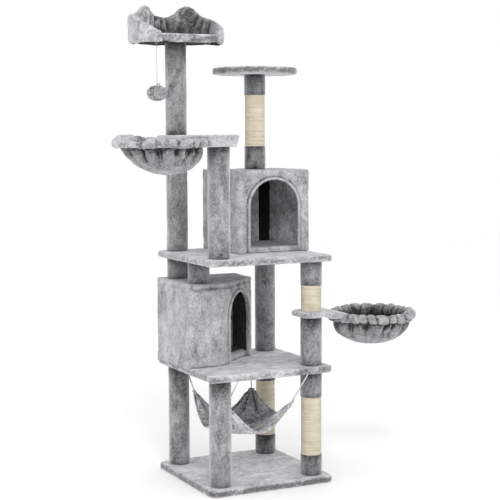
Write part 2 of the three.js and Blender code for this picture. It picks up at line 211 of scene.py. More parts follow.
def math_value(tree, operation, *values):
    return add_node(tree, "ShaderNodeMath", dict(enumerate(values)), operation=operation).outputs[0]


def weighted_sum(tree, parts):
    total = 0.0
    for value, weight in parts:
        total = math_value(tree, "MULTIPLY_ADD", value, weight, total)
    return total


def colour_ramp(tree, value, stops):
    ramp = add_node(tree, "ShaderNodeValToRGB", {"Fac": value})
    elements = ramp.color_ramp.elements
    while len(elements) < len(stops):
        elements.new(0.5)
    for element, (position, colour) in zip(elements, stops):
        element.position = position
        element.color = (*colour, 1)
    return ramp.outputs["Color"]


def bump_chain(tree, surface, layers):
    """Bump layers of (height, strength, distance), each on top of the one before."""
    normal = None
    for height, strength, distance in layers:
        inputs = {"Height": height, "Strength": strength, "Distance": distance}
        if normal is not None:
            inputs["Normal"] = normal
        normal = add_node(tree, "ShaderNodeBump", inputs).outputs["Normal"]
    tree.links.new(normal, surface.inputs["Normal"])


def grey(level):
    return (level, level, level * 1.025)


PLUSH_SURFACE = {
    "Roughness": 0.92,
    "Specular IOR Level": 0.12,
    "Sheen Roughness": 0.5,
    "Sheen Tint": (0.95, 0.96, 1.0, 1),
}


def plush_material(name, level, contrast=1.0, stretch=(1, 1, 1), sheen=0.5, patch=0.03, upright_shade=0.0):
    """Short-pile plush of mean colour level: brushed patches, flecks where the pile parts, fibre grain,
    and painted shade stored on the piece. The last argument paints shade on its upright faces."""
    material, tree, surface = new_material(name, PLUSH_SURFACE)
    surface.inputs["Sheen Weight"].default_value = sheen
    at = object_space(tree)
    # Painted shade stored on the piece's points darkens the colour below.
    crease = add_node(tree, "ShaderNodeAttribute", {}, attribute_name="crease").outputs["Fac"]
    brushed = noise_value(tree, at, stretch, 3.4 * patch, 3, 0.55, 1.4)
    patches = noise_value(tree, at, stretch, patch, 4, 0.7, 1.0)
    flecks = noise_value(tree, at, (1, 1, 1), 0.0075, 3, 0.75, 0.6)
    fibre = noise_value(tree, at, (1, 1, 1), 0.0022, 2, 0.6)
    parts = [(brushed, 0.27), (patches, 0.31), (flecks, 0.34), (fibre, 0.10), (crease, -0.14)]
    # Painted shade: upright faces come out darker than flat tops.
    if upright_shade:
        normal = add_node(tree, "ShaderNodeNewGeometry", {}).outputs["Normal"]
        facing_up = add_node(tree, "ShaderNodeSeparateXYZ", {"Vector": normal}).outputs["Z"]
        parts.append((math_value(tree, "ABSOLUTE", facing_up), upright_shade))
    spread = 0.5 * contrast
    tones = [(0.15, 0.12), (0.38, 1 - spread), (0.51, 1), (0.64, 1 + spread)]
    stops = [(position + upright_shade, grey(level * tone)) for position, tone in tones]
    mottled = colour_ramp(tree, weighted_sum(tree, parts), stops)
    # Painted shade: the colour is scaled down where the stored shade is high.
    painted_shade_scale = math_value(tree, "MULTIPLY_ADD", crease, -0.6, 1.0)
    inputs = {"Vector": mottled, "Scale": painted_shade_scale}
    shaded = add_node(tree, "ShaderNodeVectorMath", inputs, operation="SCALE").outputs[0]
    tree.links.new(shaded, surface.inputs["Base Color"])
    bump_chain(tree, surface, [(patches, 0.4, 3 * MM), (flecks, 0.6, 1.6 * MM), (fibre, 0.6, 0.5 * MM)])
    return material


def sisal_material(name):
    """Twisted sisal cord: cream, with painted shade as darker bands between turns, and stray fibres
    along them.
    """
    material, tree, surface = new_material(name, {"Roughness": 0.85, "Specular IOR Level": 0.25})
    at = object_space(tree)
    groove_shade_bands = noise_value(tree, at, (14, 14, 1), 0.006, 2, 0.5)
    strands = noise_value(tree, at, (5, 5, 1), 0.0012, 3, 0.6, 0.4)
    wear = noise_value(tree, at, (1, 1, 1), 0.05, 3, 0.6)
    mix = weighted_sum(tree, [(groove_shade_bands, 0.35), (strands, 0.4), (wear, 0.25)])
    stops = [(0.34, (0.44, 0.38, 0.27)), (0.5, (0.60, 0.54, 0.42)), (0.66, (0.72, 0.67, 0.56))]
    tree.links.new(colour_ramp(tree, mix, stops), surface.inputs["Base Color"])
    bump_chain(tree, surface, [(strands, 0.7, 0.7 * MM)])
    return material


def grained_material(name, values, grain, stops, bump):
    """A material whose colour and bump follow one noise. grain is the noise's stretch, size,
    detail and roughness, and bump is the strength and distance of its relief."""
    material, tree, surface = new_material(name, values)
    value = noise_value(tree, object_space(tree), *grain)
    tree.links.new(colour_ramp(tree, value, stops), surface.inputs["Base Color"])
    bump_chain(tree, surface, [(value, *bump)])
    return material


def cardboard_material(name):
    stops = [(0.35, (0.30, 0.20, 0.11)), (0.65, (0.45, 0.32, 0.19))]
    grain = ((3, 3, 1), 0.004, 4, 0.6)
    return grained_material(name, {"Roughness": 0.88}, grain, stops, (0.3, 0.4 * MM))


def steel_material(name):
    stops = [(0.3, (0.52, 0.53, 0.55)), (0.7, (0.66, 0.67, 0.69))]
    values = {"Metallic": 1.0, "Roughness": 0.38}
    return grained_material(name, values, ((1, 1, 8), 0.002, 3, 0.6), stops, (0.15, 0.2 * MM))


def cord_material(name, dark, light):
    """Braided cord: fine crossing strands."""
    stops = [(0.35, dark), (0.6, light)]
    values = {"Roughness": 0.8, "Sheen Weight": 0.2}
    return grained_material(name, values, ((1, 1, 2), 0.0012, 2, 0.5), stops, (0.5, 0.4 * MM))


# ---------------------------------------------------------------- mesh helpers
def new_piece(name, vertices, faces, materials=()):
    mesh = bpy.data.meshes.new(name)
    mesh.from_pydata([tuple(v) for v in vertices], [], faces)
    mesh.update()
    mesh.polygons.foreach_set("use_smooth", [True] * len(mesh.polygons))
    for material in materials:
        mesh.materials.append(material)
    return link_object(name, mesh)


def add_modifier(piece, kind, **settings):
    made = piece.modifiers.new(kind.lower(), kind)
    for key, value in settings.items():
        setattr(made, key, value)
    return made


def bake_modifiers(piece):
    """Replaces a piece's mesh by what its modifiers make of it."""
    graph = bpy.context.evaluated_depsgraph_get()
    graph.update()
    made = bpy.data.meshes.new_from_object(piece.evaluated_get(graph))
    old = piece.data
    piece.shape_key_clear()
    piece.modifiers.clear()
    piece.data = made
    bpy.data.meshes.remove(old)
    made.polygons.foreach_set("use_smooth", [True] * len(made.polygons))


def soften(piece, voxel, rounds):
    """Remeshes a piece evenly and smooths it."""
    add_modifier(piece, "REMESH", mode="VOXEL", voxel_size=voxel)
    add_modifier(piece, "SMOOTH", iterations=rounds)
    bake_modifiers(piece)


def read_vectors(items, key):
    """One vector each of a mesh's vertices or faces, as an array."""
    values = np.empty(len(items) * 3)
    items.foreach_get(key, values)
    return values.reshape(-1, 3)


def read_points(piece):
    return read_vectors(piece.data.vertices, "co")


def read_normals(piece):
    return read_vectors(piece.data.vertices, "normal")


def face_centres(piece):
    return read_vectors(piece.data.polygons, "center")


def write_points(piece, points):
    """Puts a piece's points back. x, y, z = points.T are views, so changes to them count."""
    piece.data.vertices.foreach_set("co", np.ascontiguousarray(points).ravel())
    piece.data.update()


def push_out(piece, lift):
    """Moves each point of a piece along its normal by its own lift."""
    write_points(piece, read_points(piece) + read_normals(piece) * lift[:, None])


def choose_materials(piece, numbers):
    """Gives each face of a piece the material of its number."""
    piece.data.polygons.foreach_set("material_index", numbers.astype(np.int32))


def fractal(points, size, seed):
    """Smooth noise from about -1 to 1 at each point, with features about size across."""
    shift = Vector((7.3 * seed, 3.1 * seed, 5.7 * seed))
    return np.array([noise.fractal(Vector(p) / size + shift, 0.7, 2.0, 3) for p in points])


def ruffle(piece, amount, size, seed, stretch=(1, 1, 1), mask=None):
    """Moves a piece's surface in and out by soft noise."""
    points = read_points(piece)
    lift = amount * fractal(points / np.array(stretch), size, seed)
    if mask is not None:
        lift *= mask(points)
    push_out(piece, lift)


def mark_creases(piece, deep, rounds):
    """Stores, as painted shade, how far each point lies below its surroundings, 1 at the depth deep and
    beyond.
    """
    mesh = piece.data
    edges = np.empty(len(mesh.edges) * 2, np.int64)
    mesh.edges.foreach_get("vertices", edges)
    one, other = edges.reshape(-1, 2).T
    count = len(mesh.vertices)
    degree = np.maximum(np.bincount(edges, minlength=count), 1)

    def spread(values):
        total = np.bincount(one, values[other], count) + np.bincount(other, values[one], count)
        return 0.5 * values + 0.5 * total / degree

    points = read_points(piece)
    smooth = points
    for _ in range(rounds):
        smooth = np.stack([spread(smooth[:, axis]) for axis in range(3)], axis=1)
    depth = share_of(np.sum((smooth - points) * read_normals(piece), axis=1) / deep)
    crease = mesh.attributes.new("crease", "FLOAT", "POINT")
    crease.data.foreach_set("value", spread(spread(depth)).astype(np.float32))


def add_shade(piece, amount):
    """Adds painted shade to what a piece stores, so that its colour is darker there."""
    crease = piece.data.attributes["crease"].data
    values = np.empty(len(crease), np.float32)
    crease.foreach_get("value", values)
    crease.foreach_set("value", share_of(values + amount).astype(np.float32))


def finish_piece(piece, body, nodes):
    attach(piece, body)
    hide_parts(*nodes)
    return piece


def grid_faces(rows, columns, ring=True, loop=False):
    """The faces between the rows of a grid of points. ring joins each row's end to its start,
    and loop joins the last row to the first."""
    faces = []
    for i in range(rows if loop else rows - 1):
        low, high = i * columns, (i + 1) % rows * columns
        for j in range(columns if ring else columns - 1):
            k = (j + 1) % columns
            faces.append((low + j, low + k, high + k, high + j))
    return faces


def capped_grid(rows, columns):
    """The faces of a closed tube: the rows of points are its rings, the end rows its caps."""
    caps = [tuple(reversed(range(columns))), tuple(range((rows - 1) * columns, rows * columns))]
    return grid_faces(rows, columns) + caps


def flipped(faces):
    """The same faces turned to the other side."""
    return [(face[0], *reversed(face[1:])) for face in faces]


# ---------------------------------------------------------------- turned shapes
def revolve(name, profile, sides, materials, closed, shape):
    """Turns a profile of (radius, height) about Z. A closed profile makes a sleeve; an open
    one starts and ends on the axis. shape(points, angle, along) moves the points."""
    profile = np.array(profile)
    rim = profile if closed else profile[1:-1]
    along = (np.arange(len(rim)) + (0 if closed else 1)) / (len(profile) - 1)
    angle, along = np.meshgrid(np.arange(sides) * TAU / sides, along)
    radius, height = rim[:, 0][:, None], rim[:, 1][:, None]
    points = np.stack([radius * np.cos(angle), radius * np.sin(angle), height + 0 * angle], axis=-1)
    points = shape(points, angle, along).reshape(-1, 3)
    faces = grid_faces(len(rim), sides, loop=closed)
    if not closed:
        first, last = len(points), len(points) + 1
        points = np.vstack([points, [(0, 0, profile[0, 1]), (0, 0, profile[-1, 1])]])
        top = (len(rim) - 1) * sides
        for j in range(sides):
            k = (j + 1) % sides
            faces += [(first, k, j), (last, top + j, top + k)]
    return new_piece(name, points, faces, materials)


def drawn_in(points, radius, sink):
    """The points of a turned shape of this radius, drawn in towards its axis by sink."""
    scale = 1 - sink / radius
    return points * np.stack([scale, scale, np.ones_like(scale)], axis=-1)


def move_piece(piece, x, y, z=0.0):
    write_points(piece, read_points(piece) + np.array([x, y, z]))


def spaced(start, end, step):
    count = max(2, round(abs(end - start) / step) + 1)
    return list(np.linspace(start, end, count))


def node_tube(node):
    """Centre, outer radius and the two ends of an upright round CAD node."""
    low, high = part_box(node)
    return (low.x + high.x) / 2, (low.y + high.y) / 2, (high.x - low.x) / 2, low.z, high.z


def add_plush_sleeve(node, material, bore):
    """A post's or band's plush: rolled in at the ends, sewn at the back, slightly uneven."""
    x, y, radius, z0, z1 = node_tube(node)
    edge = PLUSH_EDGE
    turn_in = [(radius - edge, 0), (radius - 0.4 * edge, 0.25 * edge), (radius, edge)]
    outer = [(r, z0 + dz) for r, dz in turn_in]
    outer += [(radius, z) for z in spaced(z0 + 2 * edge, z1 - 2 * edge, 7 * MM)]
    outer += [(r, z1 - dz) for r, dz in reversed(turn_in)]

    def shape(points, angle, along):
        seam = hump((angle - SLEEVE_SEAM_AT) / 0.035)
        outside = np.hypot(points[..., 0], points[..., 1]) > radius - edge - 1e-6
        return drawn_in(points, radius, outside * seam * 1.2 * MM)

    def outer_skin(points):
        return np.hypot(points[:, 0] - x, points[:, 1] - y) > bore + 1 * MM

    piece = revolve(f"{node}_plush", outer + [(bore, z1), (bore, z0)], 72, [material], True, shape)
    move_piece(piece, x, y)
    seed = sum(map(ord, node)) % 50
    ruffle(piece, 0.9 * MM, 0.05, seed, (1, 1, 2.5), outer_skin)
    mark_creases(piece, 2 * MM, 2)
    # Painted shade: the pile is darkened just under the board above and at the foot.
    heights = read_points(piece)[:, 2]
    from_top, from_foot = z1 - heights, heights - z0
    add_shade(piece, 0.85 * np.exp(-from_top / 0.03) + 0.6 * np.exp(-from_foot / 0.012))
    return finish_piece(piece, "root", [node])


def add_sisal_wrap(node, material):
    """Cord wound in one helix, each turn a half-round ridge."""
    x, y, radius, z0, z1 = node_tube(node)
    bore = radius - SISAL_WALL
    loop = [(radius, z) for z in spaced(z0, z1, SISAL_PITCH / 6)] + [(bore, z1), (bore, z0)]

    def shape(points, angle, along):
        phase = (points[..., 2] - z0) / SISAL_PITCH - angle / TAU
        across = 2 * (phase - np.floor(phase)) - 1
        groove_depth = SISAL_CORD * (1 - np.sqrt(share_of(1 - 0.94 * across**2)))
        outside = np.hypot(points[..., 0], points[..., 1]) > bore + 1e-6
        return drawn_in(points, radius, outside * groove_depth)

    piece = revolve(f"{node}_cord", loop, 60, [material], True, shape)
    move_piece(piece, x, y)
    return finish_piece(piece, "root", [node])


# ---------------------------------------------------------------- plush over boards
def inset_polygon(corners, distance):
    """The corners of a counterclockwise outline moved in from its sides by a distance."""
    moved = []
    for i, corner in enumerate(corners):
        here = Vector(corner)
        into = (here - Vector(corners[i - 1])).normalized()
        out = (Vector(corners[(i + 1) % len(corners)]) - here).normalized()
        moved.append(here + (out - into) * distance / into.cross(out))
    return moved


def rounded_outline(corners, radius):
    """Points round a convex outline, counterclockwise, its corners rounded by arcs."""
    centres = inset_polygon(corners, radius)
    points = []
    for i, centre in enumerate(centres):
        into = centre - centres[i - 1]
        out = centres[(i + 1) % len(centres)] - centre
        start = math.atan2(-into.x, into.y)
        turn = (math.atan2(-out.x, out.y) - start) % TAU
        for angle in np.linspace(start, start + turn, 7):
            points.append(centre + radius * Vector((math.cos(angle), math.sin(angle))))
    return points


def rectangle(low, high):
    return [(low.x, low.y), (high.x, low.y), (high.x, high.y), (low.x, high.y)]


def prism(outline, z0, z1):
    """The closed mesh between an outline at z0 and the same at z1, as (vertices, faces)."""
    vertices = [(p[0], p[1], z) for z in (z0, z1) for p in outline]
    return vertices, capped_grid(2, len(outline))


def soft_solid(name, solid, cutters, rounds, materials):
    """A solid less its cutters, its edges softened as plush over board softens them."""
    piece = new_piece(name, *solid, materials)
    helpers = [new_piece(f"{name}_cutter_{i}", *cutter) for i, cutter in enumerate(cutters)]
    for helper in helpers:
        add_modifier(piece, "BOOLEAN", operation="DIFFERENCE", solver="EXACT", object=helper)
    soften(piece, VOXEL, rounds)
    for helper in helpers:
        bpy.data.objects.remove(helper)
    return piece


def add_board(node, material, outline=None, body="root", seed=0):
    """A board's plush, by its own rectangle or an outline given for it."""
    low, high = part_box(node)
    outline = outline or rounded_outline(rectangle(low, high), BOARD_CORNER)
    piece = soft_solid(f"{node}_plush", prism(outline, low.z, high.z), [], 9, [material])
    ruffle(piece, 1.1 * MM, 0.045, seed)
    ruffle(piece, 0.5 * MM, 0.012, seed + 60)
    return finish_piece(piece, body, [node])


def cover_tabs(piece, node, post, thin):
    """Lets a ledge's plush hang over the basket's tabs, except where it stands on its post.
    Left of the tabs the plush is drawn up by thin."""
    low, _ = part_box(node)
    tab_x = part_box("right_basket_ring")[0].x
    points = read_points(piece)
    x, y, z = points.T
    hang = TAB_COVER - (TAB_COVER + thin) * ramp(x, tab_x, tab_x - 15 * MM)
    clear = np.hypot(x - post[0], y - post[1]) > POST_R + 3 * MM
    z -= clear * ramp(z, low.z + 8 * MM, low.z) * hang
    write_points(piece, points)


def fold_left_ledge(piece):
    """The ledge's wrap laps over its edge: a seam below the top, and a drawn-in right end."""
    low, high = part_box("left_ledge_board")
    seam = hump((read_points(piece)[:, 2] - high.z + 12 * MM) / (3.5 * MM))
    upright = 1 - np.abs(read_normals(piece)[:, 2])
    push_out(piece, -seam * upright * 3.5 * MM)
    points = read_points(piece)
    x, _, z = points.T
    x -= ramp(x, high.x - 30 * MM, high.x) * ramp(z, high.z, low.z) ** 1.5 * 13 * MM
    write_points(piece, points)


def slope_to_basket(piece, low_z, high):
    """The right ledge's plush runs on over the basket's tabs, down to the basket's rim."""
    points = read_points(piece)
    x, _, z = points.T
    past = ramp(x, high.x - 30 * MM, high.x + LEDGE_LAP)
    z -= past**1.3 * (5 * MM + ramp(z, low_z, high.z) * 12 * MM)
    write_points(piece, points)


def disc_outline(centre, radius, start=0.0, end=TAU):
    """Points round a disc, or round the part of it between two angles."""
    whole = end - start > TAU - 0.01
    angles = np.linspace(start, end, 97)[: 96 if whole else 97]
    return [(centre[0] + radius * math.cos(a), centre[1] + radius * math.sin(a)) for a in angles]


def add_boards(material, side_shaded_plush, ledge_material):
    add_board("base_board", side_shaded_plush)
    add_board("lower_platform_board", material, seed=1)
    add_board("upper_platform_board", material, seed=2)
    ledge = add_board("left_ledge_board", ledge_material, seed=5)
    cover_tabs(ledge, "left_ledge_board", (-LEDGE_POST_X, LEDGE_POST_Y), -TAB_COVER)
    fold_left_ledge(ledge)
    low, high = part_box("right_ledge_board")
    outline = rounded_outline(rectangle(low, Vector((high.x + LEDGE_LAP, high.y))), 38 * MM)
    ledge = add_board("right_ledge_board", material, outline, "right_basket", seed=6)
    cover_tabs(ledge, "right_ledge_board", (LEDGE_POST_X, LEDGE_POST_Y), 6 * MM)
    slope_to_basket(ledge, low.z, high)
    low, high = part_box("top_disc_board")
    disc = disc_outline((low + high) / 2, (high.x - low.x) / 2)
    add_board("top_disc_board", side_shaded_plush, disc, seed=7)


# ---------------------------------------------------------------- houses
Doorway = namedtuple("Doorway", "middle along outward half spring")


def doorway(a, b, share, width, top):
    """A doorway in the wall from a to b, with its middle at share of the way: the directions
    along and out of the wall, half its width, and the height where its arch springs."""
    along = (b - a).normalized()
    outward = Vector((along.y, -along.x))
    return Doorway(a.lerp(b, share), along, outward, width / 2, top - width / 2)


def at_doorway(door, side, z, out):
    """The point at a height, this far to the side of a doorway's middle and out of its wall."""
    plan = door.middle + door.along * side + door.outward * out
    return Vector((plan.x, plan.y, z))


def arch_prism(door, z0, depth):
    """An upright arch as wide as a doorway, run through its wall."""
    arch = [(-door.half, z0), (door.half, z0)]
    for t in np.linspace(0, math.pi, 25):
        arch.append((door.half * math.cos(t), door.spring + door.half * math.sin(t)))
    vertices = [at_doorway(door, s, z, out) for out in (-depth, depth) for s, z in arch]
    return vertices, capped_grid(2, len(arch))


def inside_polygon(points, corners):
    """Whether each point's plan lies inside a convex outline given counterclockwise."""
    inside = np.ones(len(points), bool)
    for i, (x, y) in enumerate(corners):
        before_x, before_y = corners[i - 1]
        run_x, run_y = x - before_x, y - before_y
        inside &= run_x * (points[:, 1] - y) - run_y * (points[:, 0] - x) > 0
    return inside


def paint_house_inside(piece, corners, roof_z):
    """Gives the faces inside a house its second material, which paints light, and its right wall the
    third, which in the lower house paints shade.
    """
    centres = face_centres(piece)
    inner = inset_polygon(corners, HOUSE_WALL - 2.5 * MM)
    inside = inside_polygon(centres, inner) & (centres[:, 2] < roof_z)
    right_wall = centres[:, 0] > max(x for x, _ in corners) - HOUSE_WALL - 5 * MM
    choose_materials(piece, inside * (1 + right_wall))


def wrinkle_band(piece, corners, top, seed):
    """Soft level folds where the plush is pulled over the roof's edge."""

    def mask(points):
        outside = ~inside_polygon(points, inset_polygon(corners, 4 * MM))
        return outside * hump((points[:, 2] - (top - 0.045)) / 0.03)

    ruffle(piece, 2.6 * MM, 0.012, seed, (4.5, 4.5, 1), mask)


def door_seam(points, door):
    """How near each point is to the seam that runs round the doorway's trim, from 0 to 1."""
    plan = points[:, :2] - np.array(door.middle)
    out = plan @ np.array(door.outward)
    rise = np.maximum(points[:, 2] - door.spring, 0)
    away = np.hypot(plan @ np.array(door.along), rise) - door.half - 9 * MM
    return hump(away / (3 * MM)) * (np.abs(out) < 8 * MM)


def roof_seam(points, corners, top):
    """How near each point is to the tuck under the roof's edge, from 0 to 1."""
    outside = ~inside_polygon(points, inset_polygon(corners, 6 * MM))
    wander = 3 * MM * fractal(points, 0.1, 61)
    depth = top - 19 * MM + wander - points[:, 2]
    strength = share_of(0.55 + 0.8 * fractal(points, 0.09, 62))
    return outside * strength * hump(depth / (5 * MM))


def pull_down_skirt(piece, low):
    """The left wall's plush runs on down over the platform's edge."""
    points = read_points(piece)
    x, _, z = points.T
    outer = x < low.x + 4 * MM
    z -= ramp(z, low.z + 10 * MM, low.z) * outer * 21 * MM
    x -= ramp(z, low.z + 30 * MM, low.z) * outer * 3 * MM
    write_points(piece, points)


def add_cover(name, corners, door, materials, seed):
    """A house's plush shell of walls and roof; inside it, copies of the plush paint light and shade."""
    walls = [n for n in frame["nodes"] if n.startswith(name) and n.endswith("_wall")]
    low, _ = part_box(walls[0])
    _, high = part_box(f"{name}_roof")
    roof_z = high.z - HOUSE_BOARD
    room = prism(inset_polygon(corners, HOUSE_WALL), low.z - 0.02, roof_z)
    arch = arch_prism(door, low.z - 0.03, 0.06)
    shell = prism(rounded_outline(corners, HOUSE_CORNER), low.z, high.z)
    piece = soft_solid(f"{name}_cover", shell, [room, arch], 6, materials)
    ruffle(piece, 1.6 * MM, 0.07, seed)
    ruffle(piece, 0.7 * MM, 0.02, seed + 1)
    wrinkle_band(piece, corners, high.z, seed + 2)
    seams = door_seam(read_points(piece), door)
    push_out(piece, -2 * MM * seams)
    if name == "lower_house":
        pull_down_skirt(piece, low)
        tuck = roof_seam(read_points(piece), corners, high.z)
        push_out(piece, -4 * MM * tuck)
        seams = np.maximum(seams, tuck)
    # Painted shade in the hollows, in the seam round the doorway's trim and in the tuck under the
    # roof's edge.
    mark_creases(piece, 4 * MM, 6)
    add_shade(piece, 0.45 * seams)
    paint_house_inside(piece, corners, roof_z + 3 * MM)
    finish_piece(piece, "root", [*walls, f"{name}_roof"])


def add_floor(name, corners, door, materials, seed):
    """A house's floor. At the doorway the cover's plush runs in over it; the rest is near-black,
    painted shade.
    """
    low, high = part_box(f"{name}_floor")
    solid = prism(inset_polygon(corners, HOUSE_WALL + 0.3 * MM), low.z, high.z)
    floor = soft_solid(f"{name}_floor_plush", solid, [], 3, materials)
    ruffle(floor, 0.8 * MM, 0.04, seed)
    into = (np.array(door.middle) - face_centres(floor)[:, :2]) @ np.array(door.outward)
    # Painted shade: past the sill the floor gets its near-black plush.
    choose_materials(floor, into < DOOR_SILL)
    finish_piece(floor, "root", [f"{name}_floor"])


def add_door_trim(name, door, material, seed):
    """A rolled strip of plush sewn round the doorway's edge."""
    half = door.half + 2 * MM
    upright = spaced(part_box(f"{name}_door_wall")[0].z + 6 * MM, door.spring, 8 * MM)
    outline = [(-half, z) for z in upright]
    for t in np.linspace(0.08, math.pi - 0.08, 36):
        outline.append((-half * math.cos(t), door.spring + half * math.sin(t)))
    outline += [(half, z) for z in reversed(upright)]
    path = [at_doorway(door, s, z, 1.5 * MM) for s, z in outline]
    piece = tube_along(f"{name}_door_trim", path, 5 * MM, material, 12)
    ruffle(piece, 0.8 * MM, 0.012, seed)
    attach(piece, "root")


def add_house(name, corners, door, materials, seed):
    """One house. Its materials: outside, inside (lighter copy: painted light), right wall's inside,
    floor and door trim. The near-black ones are painted shade.
    """
    *cover, floor, trim = materials
    add_cover(name, corners, door, cover, seed)
    add_floor(name, corners, door, [floor, cover[0]], seed + 3)
    add_door_trim(name, door, trim, seed + 3)


def add_houses(plush, painted_light_inner_plush, painted_shadow_plush, painted_shade_floor_plush, trim):
    low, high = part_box("upper_house_roof")
    upper = [Vector(corner) for corner in rectangle(low, high)]
    door = doorway(upper[0], upper[1], share=0.5, width=0.205, top=1.124)
    add_house("upper_house", upper, door, (plush, painted_light_inner_plush, painted_light_inner_plush, painted_shade_floor_plush, trim), 11)

    low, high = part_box("lower_house_roof")
    door_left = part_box("lower_house_front_wall")[1].x
    door_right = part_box("lower_house_right_wall")[0].y
    plan = [(low.x, low.y), (door_left, low.y), (high.x, door_right), (high.x, high.y), (low.x, high.y)]
    lower = [Vector(corner) for corner in plan]
    door = doorway(lower[1], lower[2], share=0.55, width=0.18, top=0.7)
    add_house("lower_house", lower, door, (plush, painted_light_inner_plush, painted_shadow_plush, painted_shadow_plush, trim), 21)


# ---------------------------------------------------------------- baskets
def gathers(count, jitter, seed):
    """Uneven gathers round a circle. Returns puff(angle, width), which is 0 in each narrow fold of that
    angular width, and the gather's own fullness, up to 1, between them."""
    rng = random.Random(seed)
    widths = []
    for _ in range(count):
        widths.append(1 + jitter * rng.uniform(-1, 1))
        if rng.random() < 0.35:
            widths.append(rng.uniform(0.2, 0.35))
    edges = np.concatenate([[0], np.cumsum(widths)]) * TAU / sum(widths)
    fullness = np.array([rng.uniform(0.78, 1) for _ in widths])

    def puff(angle, width):
        angle = np.mod(angle, TAU)
        i = np.clip(np.searchsorted(edges, angle, "right") - 1, 0, len(widths) - 1)
        past, left = angle - edges[i], edges[i + 1] - angle
        dome = 0.8 + 0.2 * np.sin(math.pi * share_of(past / (edges[i + 1] - edges[i])))
        return fullness[i] * dome * (1 - np.exp(-((np.minimum(past, left) / width) ** 1.6)))

    return puff


def smooth_profile(points, steps):
    """A smooth curve through the profile's points, as (radius, height)."""
    points = [Vector(p) for p in points]
    made = []
    for i in range(len(points) - 1):
        p0 = points[max(i - 1, 0)]
        p1, p2 = points[i], points[i + 1]
        p3 = points[min(i + 2, len(points) - 1)]
        for k in range(steps):
            t = k / steps
            p = p1 * 2 + (p2 - p0) * t + (p0 * 2 - p1 * 5 + p2 * 4 - p3) * t**2
            made.append((p + (p1 * 3 - p0 - p2 * 3 + p3) * t**3) / 2)
    made.append(points[-1])
    return [(max(p.x, 0), p.y) for p in made]


def basket_profile(depth, rim_low, rim_high, bowl):
    """The bowl's closed section in millimetres: up its outside, behind the hanging hem, over
    the rim, and down its inside."""
    middle = (rim_low + rim_high) / 2
    outside = [(r, -share * depth) for r, share in bowl]
    inside = [(max(r - 6, 0), 6 - share * depth) for r, share in reversed(bowl)]
    hem = [(144, rim_low + 6), (152, rim_low + 4), (158, rim_low - 2), (165, rim_low + 6)]
    over = [(167, middle), (163, rim_high - 6), (153, rim_high), (139, rim_high - 4), (131, middle)]
    return outside + hem + over + [(133, rim_low + 5), (140, rim_low - 2)] + inside


def laps(angle, rise, steps):
    """Overlaps of the rim's fabric: a sharp step at each angle, easing off past it."""
    total = np.zeros_like(angle)
    for at, height, length in steps:
        past = np.mod(angle - math.radians(at) - 0.12 * rise, TAU)
        total += height * MM * np.exp(-past / math.radians(length)) * (past < math.pi)
    return total


def pleats(angle, fall, ridges):
    """Long pleats on the bowl: ridges that lean as they run down from the rim, with a furrow
    on each side."""
    total = np.zeros_like(angle)
    for at, lean, length, height in ridges:
        away = turn_from(angle - math.radians(lean) * fall, at)
        furrows = hump((np.abs(away) - 0.075) / 0.035)
        total += height * MM * share_of(1 - fall / length) * (hump(away / 0.032) - 0.7 * furrows)
    return total


def lifts(angle, raised):
    """How far the rim is raised at each angle."""
    total = np.zeros_like(angle)
    for at, height, width in raised:
        total += height * MM * hump(turn_from(angle, at) / math.radians(width))
    return total


def rim_shares(points, look):
    """Which points of a basket's rim lie on its stretch with painted light, and how near each is to the
    edge of an overlap of its fabric, from 0 to 1."""
    angle = np.arctan2(points[:, 1], points[:, 0])
    on_rim = points[:, 2] > look["rim"][0] * MM - 3 * MM
    light_at, light_width = look["light"]
    light = on_rim & (np.abs(turn_from(angle, light_at)) < math.radians(light_width))
    edges = np.zeros(len(points))
    for at, height, _ in look["laps"]:
        edges += height / 9 * hump(turn_from(angle, at - 1.5) / math.radians(2.2))
    return light, on_rim * edges


def basket_shape(look):
    """Returns what moves the points of a basket's turned bowl: its gathered rim, the folds
    and pleats below it, and its skew."""
    depth = look["depth"] * MM
    rim_low, rim_high = look["rim"]
    rim_at = np.array([151 * MM, (rim_low + rim_high) / 2 * MM])
    rim_half = (rim_high - rim_low) / 2 * MM
    puff = gathers(look["puffs"], 0.45, look["seed"])
    fold = gathers(look["folds"], 0.5, look["seed"] + 1)

    def shape(points, angle, along):
        radius = np.hypot(points[..., 0], points[..., 1])
        height = points[..., 2]
        away = np.stack([radius, height], axis=-1) - rim_at
        distance = np.linalg.norm(away, axis=-1)
        near = np.exp(-((distance / (1.5 * rim_half)) ** 4))
        rise = away[..., 1] / rim_half
        plump = (puff(angle + 0.03 * rise, 0.028) - 0.8) * look["plump"] * MM
        swell = near * (plump + laps(angle, rise, look["laps"])) / np.maximum(distance, 1e-6)
        fall = share_of(-height / depth)
        draped = (1 - fall) ** 0.8 * (fold(angle + 0.14 * fall, 0.05 + 0.12 * fall) - 0.92)
        draped = draped * look["drape"] * MM + pleats(angle, fall, look["pleats"])
        raised = (0.5 + 0.5 * np.clip(rise, -1, 1)) * lifts(angle, look["lifts"])
        raised += 1.8 * MM * np.sin(3 * angle + look["seed"])
        radius = radius + swell * away[..., 0] + (1 - near) * draped
        height = height + swell * away[..., 1] + near * raised
        skew = look["skew"] * MM * fall**0.8
        x = radius * np.cos(angle) + skew
        y = radius * np.sin(angle) - 0.4 * skew
        return np.stack([x, y, height], axis=-1)

    return shape


